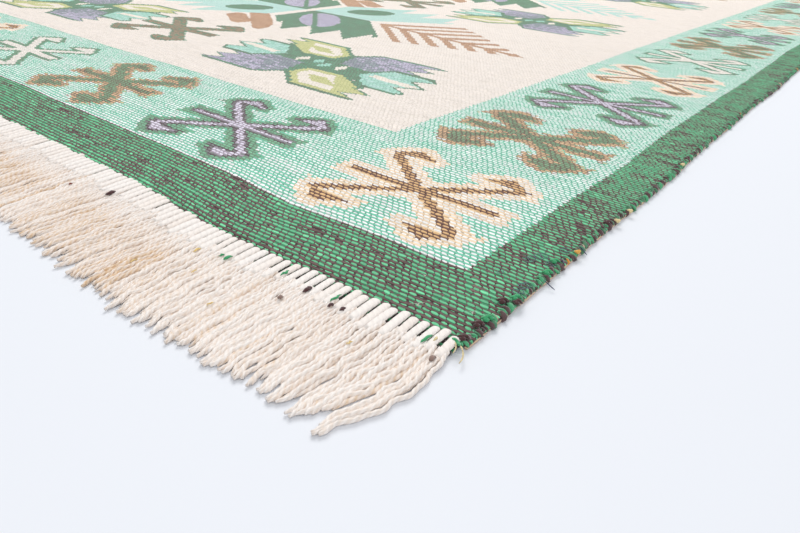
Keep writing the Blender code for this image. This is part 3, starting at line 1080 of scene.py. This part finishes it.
def scrap(outline, chance, number, place, material, colours):
    """A short lumpy tuft of coloured yarn caught in the fringe."""
    from_side, out, length, width, colour = place
    share = np.linspace(-0.5, 0.5, 7)
    across = WIDTH / 2 - from_side * MM + 0.3 * MM * chance.normal(0, 1, 7)
    x, y = outline.from_end(-1, across, out * MM + length * MM * share)
    paths = np.stack([x, y, 3.3 * MM - 0.02 * out * MM + 0.4 * MM * np.cos(np.pi * share)], -1)[None]
    size = 0.5 * width * MM * np.clip(1.25 * np.cos(np.pi * share * 0.92), 0.2, 1)
    size = size * chance.uniform(0.8, 1.1, 7)
    tones = np.array([colours.index(colour) / len(colours) + 0.05])
    return tubes(f"fringe_scrap_{number + 1}", paths, size, size * 0.7, material, tones=tones)


def strays(outline, material, colours):
    """The loose threads, lumps and curls on one edge. Those that reach past the edge hang down."""
    table = np.array([row[:-1] for row in STRAYS])
    side, along, side_end, along_end, half, curl, turns = (column[:, None] for column in table.T)
    share = np.linspace(0, 1, 24)
    turn = 2 * np.pi * turns * share
    from_side = side + (side_end - side) * share + curl * (np.cos(turn) - 1)
    y = outline.middle.y - LENGTH / 2 + (along + (along_end - along) * share + curl * np.sin(turn)) * MM
    z = np.clip(3.3 + 0.35 * from_side, 1.0, 3.3) * MM + 0.3 * half * MM * (1 + np.sin(2 * turn))
    size = half * MM * np.minimum(1, 0.4 + 3.5 * share * (1 - share))
    tones = np.array([colours.index(row[-1]) / len(colours) + 0.05 for row in STRAYS])
    path = np.stack([outline.side(y, 1) - from_side * MM, y, z], -1)
    return tubes("selvedge_strays", path, size, size * 0.8, material, sides=5, tones=tones)


def studio_floor():
    """The pale floor under the rug."""
    graph = Graph("studio_floor")
    graph.shader.inputs["Base Color"].default_value = rgb(0.915, 0.925, 0.947)
    graph.shader.inputs["Roughness"].default_value = 0.75
    bpy.ops.mesh.primitive_plane_add(size=FLOOR_SIZE, location=(0, 0, 0))
    floor = bpy.context.object
    floor.name = "studio_floor"
    floor.data.materials.append(graph.material)


def studio_light():
    """Wide soft light in a bright room. Each lamp points at the rug's middle."""
    for name, place, size, power, colour in LAMPS:
        data = bpy.data.lights.new(name, "AREA")
        data.shape = "RECTANGLE"
        data.size, data.size_y = size
        data.energy = power
        data.color = colour
        made = bpy.data.objects.new(name, data)
        made.location = place
        made.rotation_euler = (-Vector(place)).to_track_quat("-Z", "Y").to_euler()
        bpy.context.scene.collection.objects.link(made)
    world = bpy.data.worlds.new("bright_room")
    bpy.context.scene.world = world
    world.use_nodes = True
    sky = world.node_tree.nodes["Background"]
    sky.inputs["Color"].default_value = ROOM_COLOUR
    sky.inputs["Strength"].default_value = ROOM_BRIGHTNESS
    bpy.context.scene.view_settings.view_transform = "Standard"


def camera(outline):
    """The photograph's camera, placed from the rug's near right corner."""
    data = bpy.data.cameras.new("photo_camera")
    data.lens = CAMERA_LENS
    data.sensor_width = SENSOR_WIDTH
    data.sensor_fit = "HORIZONTAL"
    data.clip_start = 0.01
    made = bpy.data.objects.new("photo_camera", data)
    bpy.context.scene.collection.objects.link(made)
    corner = outline.middle + Vector((WIDTH / 2, -LENGTH / 2, 0))
    turn = (
        Matrix.Rotation(math.radians(CAMERA_AZIMUTH), 4, "Z")
        @ Matrix.Rotation(math.radians(90 - CAMERA_ELEVATION), 4, "X")
        @ Matrix.Rotation(math.radians(CAMERA_ROLL), 4, "Z")
    )
    made.matrix_world = Matrix.Translation(corner + Vector(CAMERA_FROM_CORNER)) @ turn
    bpy.context.scene.camera = made


def make_materials():
    """The yarns of the fringe, the selvedges and the scraps."""
    # The cream yarn's low tones are tan: the tan locks' own colour, and painted shade for the lower and under
    # yarns and the ply valleys.
    cream = (
        (0.0, rgb(0.86, 0.70, 0.53)),
        (0.3, rgb(0.92, 0.81, 0.69)),
        (0.6, rgb(0.97, 0.91, 0.86)),
        (1.0, rgb(1.00, 0.97, 0.945)),
    )
    # The last wefts' dark browns are partly the weft's own colour and partly painted shade between the
    # fingers.
    weft = ((0.0, rgb(0.26, 0.20, 0.20)), (0.62, rgb(0.30, 0.27, 0.25)), (0.8, rgb(0.20, 0.52, 0.34)))
    wraps = (
        rgb(0.36, 0.70, 0.50),
        rgb(0.36, 0.56, 0.43),
        rgb(0.40, 0.31, 0.31),
        rgb(0.86, 0.74, 0.62),
        rgb(0.90, 0.62, 0.28),
    )
    scraps = {
        "brown": rgb(0.34, 0.23, 0.23),
        "drab": rgb(0.60, 0.50, 0.46),
        "rust": rgb(0.55, 0.28, 0.20),
        "orange": rgb(0.96, 0.72, 0.36),
        "gold": rgb(0.98, 0.85, 0.55),
        "green": rgb(0.28, 0.67, 0.45),
        "yellow": rgb(0.95, 0.87, 0.66),
        "navy": rgb(0.22, 0.27, 0.40),
        "slate": rgb(0.42, 0.54, 0.58),
        "cream": rgb(0.97, 0.93, 0.88),
    }
    return {
        "cream": yarn_material("cream_yarn", cream, groove_shade=0.26),
        "finger": yarn_material("finger_yarn", cream),
        "weft": yarn_material("weft_yarn", weft),
        "wrap": yarn_material("wrap_yarn", even_stops(wraps), "CONSTANT"),
        "scrap": yarn_material("scrap_yarn", even_stops(list(scraps.values())), "CONSTANT"),
        "scrap_names": list(scraps),
    }


def dress(outline):
    """Adds everything: the cloth with its trims, the floor, the light and the camera."""
    camera(outline)
    studio_floor()
    studio_light()
    materials = make_materials()
    sheet = cloth(outline, (border_material(), field_material()))
    trims = []
    for end in (-1, 1):
        trims += fringe(outline, end, materials)
    for side in (-1, 1):
        trims += selvedge(outline, side, materials)
    chance = np.random.default_rng(5)
    for number, place in enumerate(FRINGE_SCRAPS):
        trims.append(scrap(outline, chance, number, place, materials["scrap"], materials["scrap_names"]))
    trims.append(strays(outline, materials["scrap"], materials["scrap_names"]))


dress(Outline(frame["nodes"]["kilim_cloth"]))
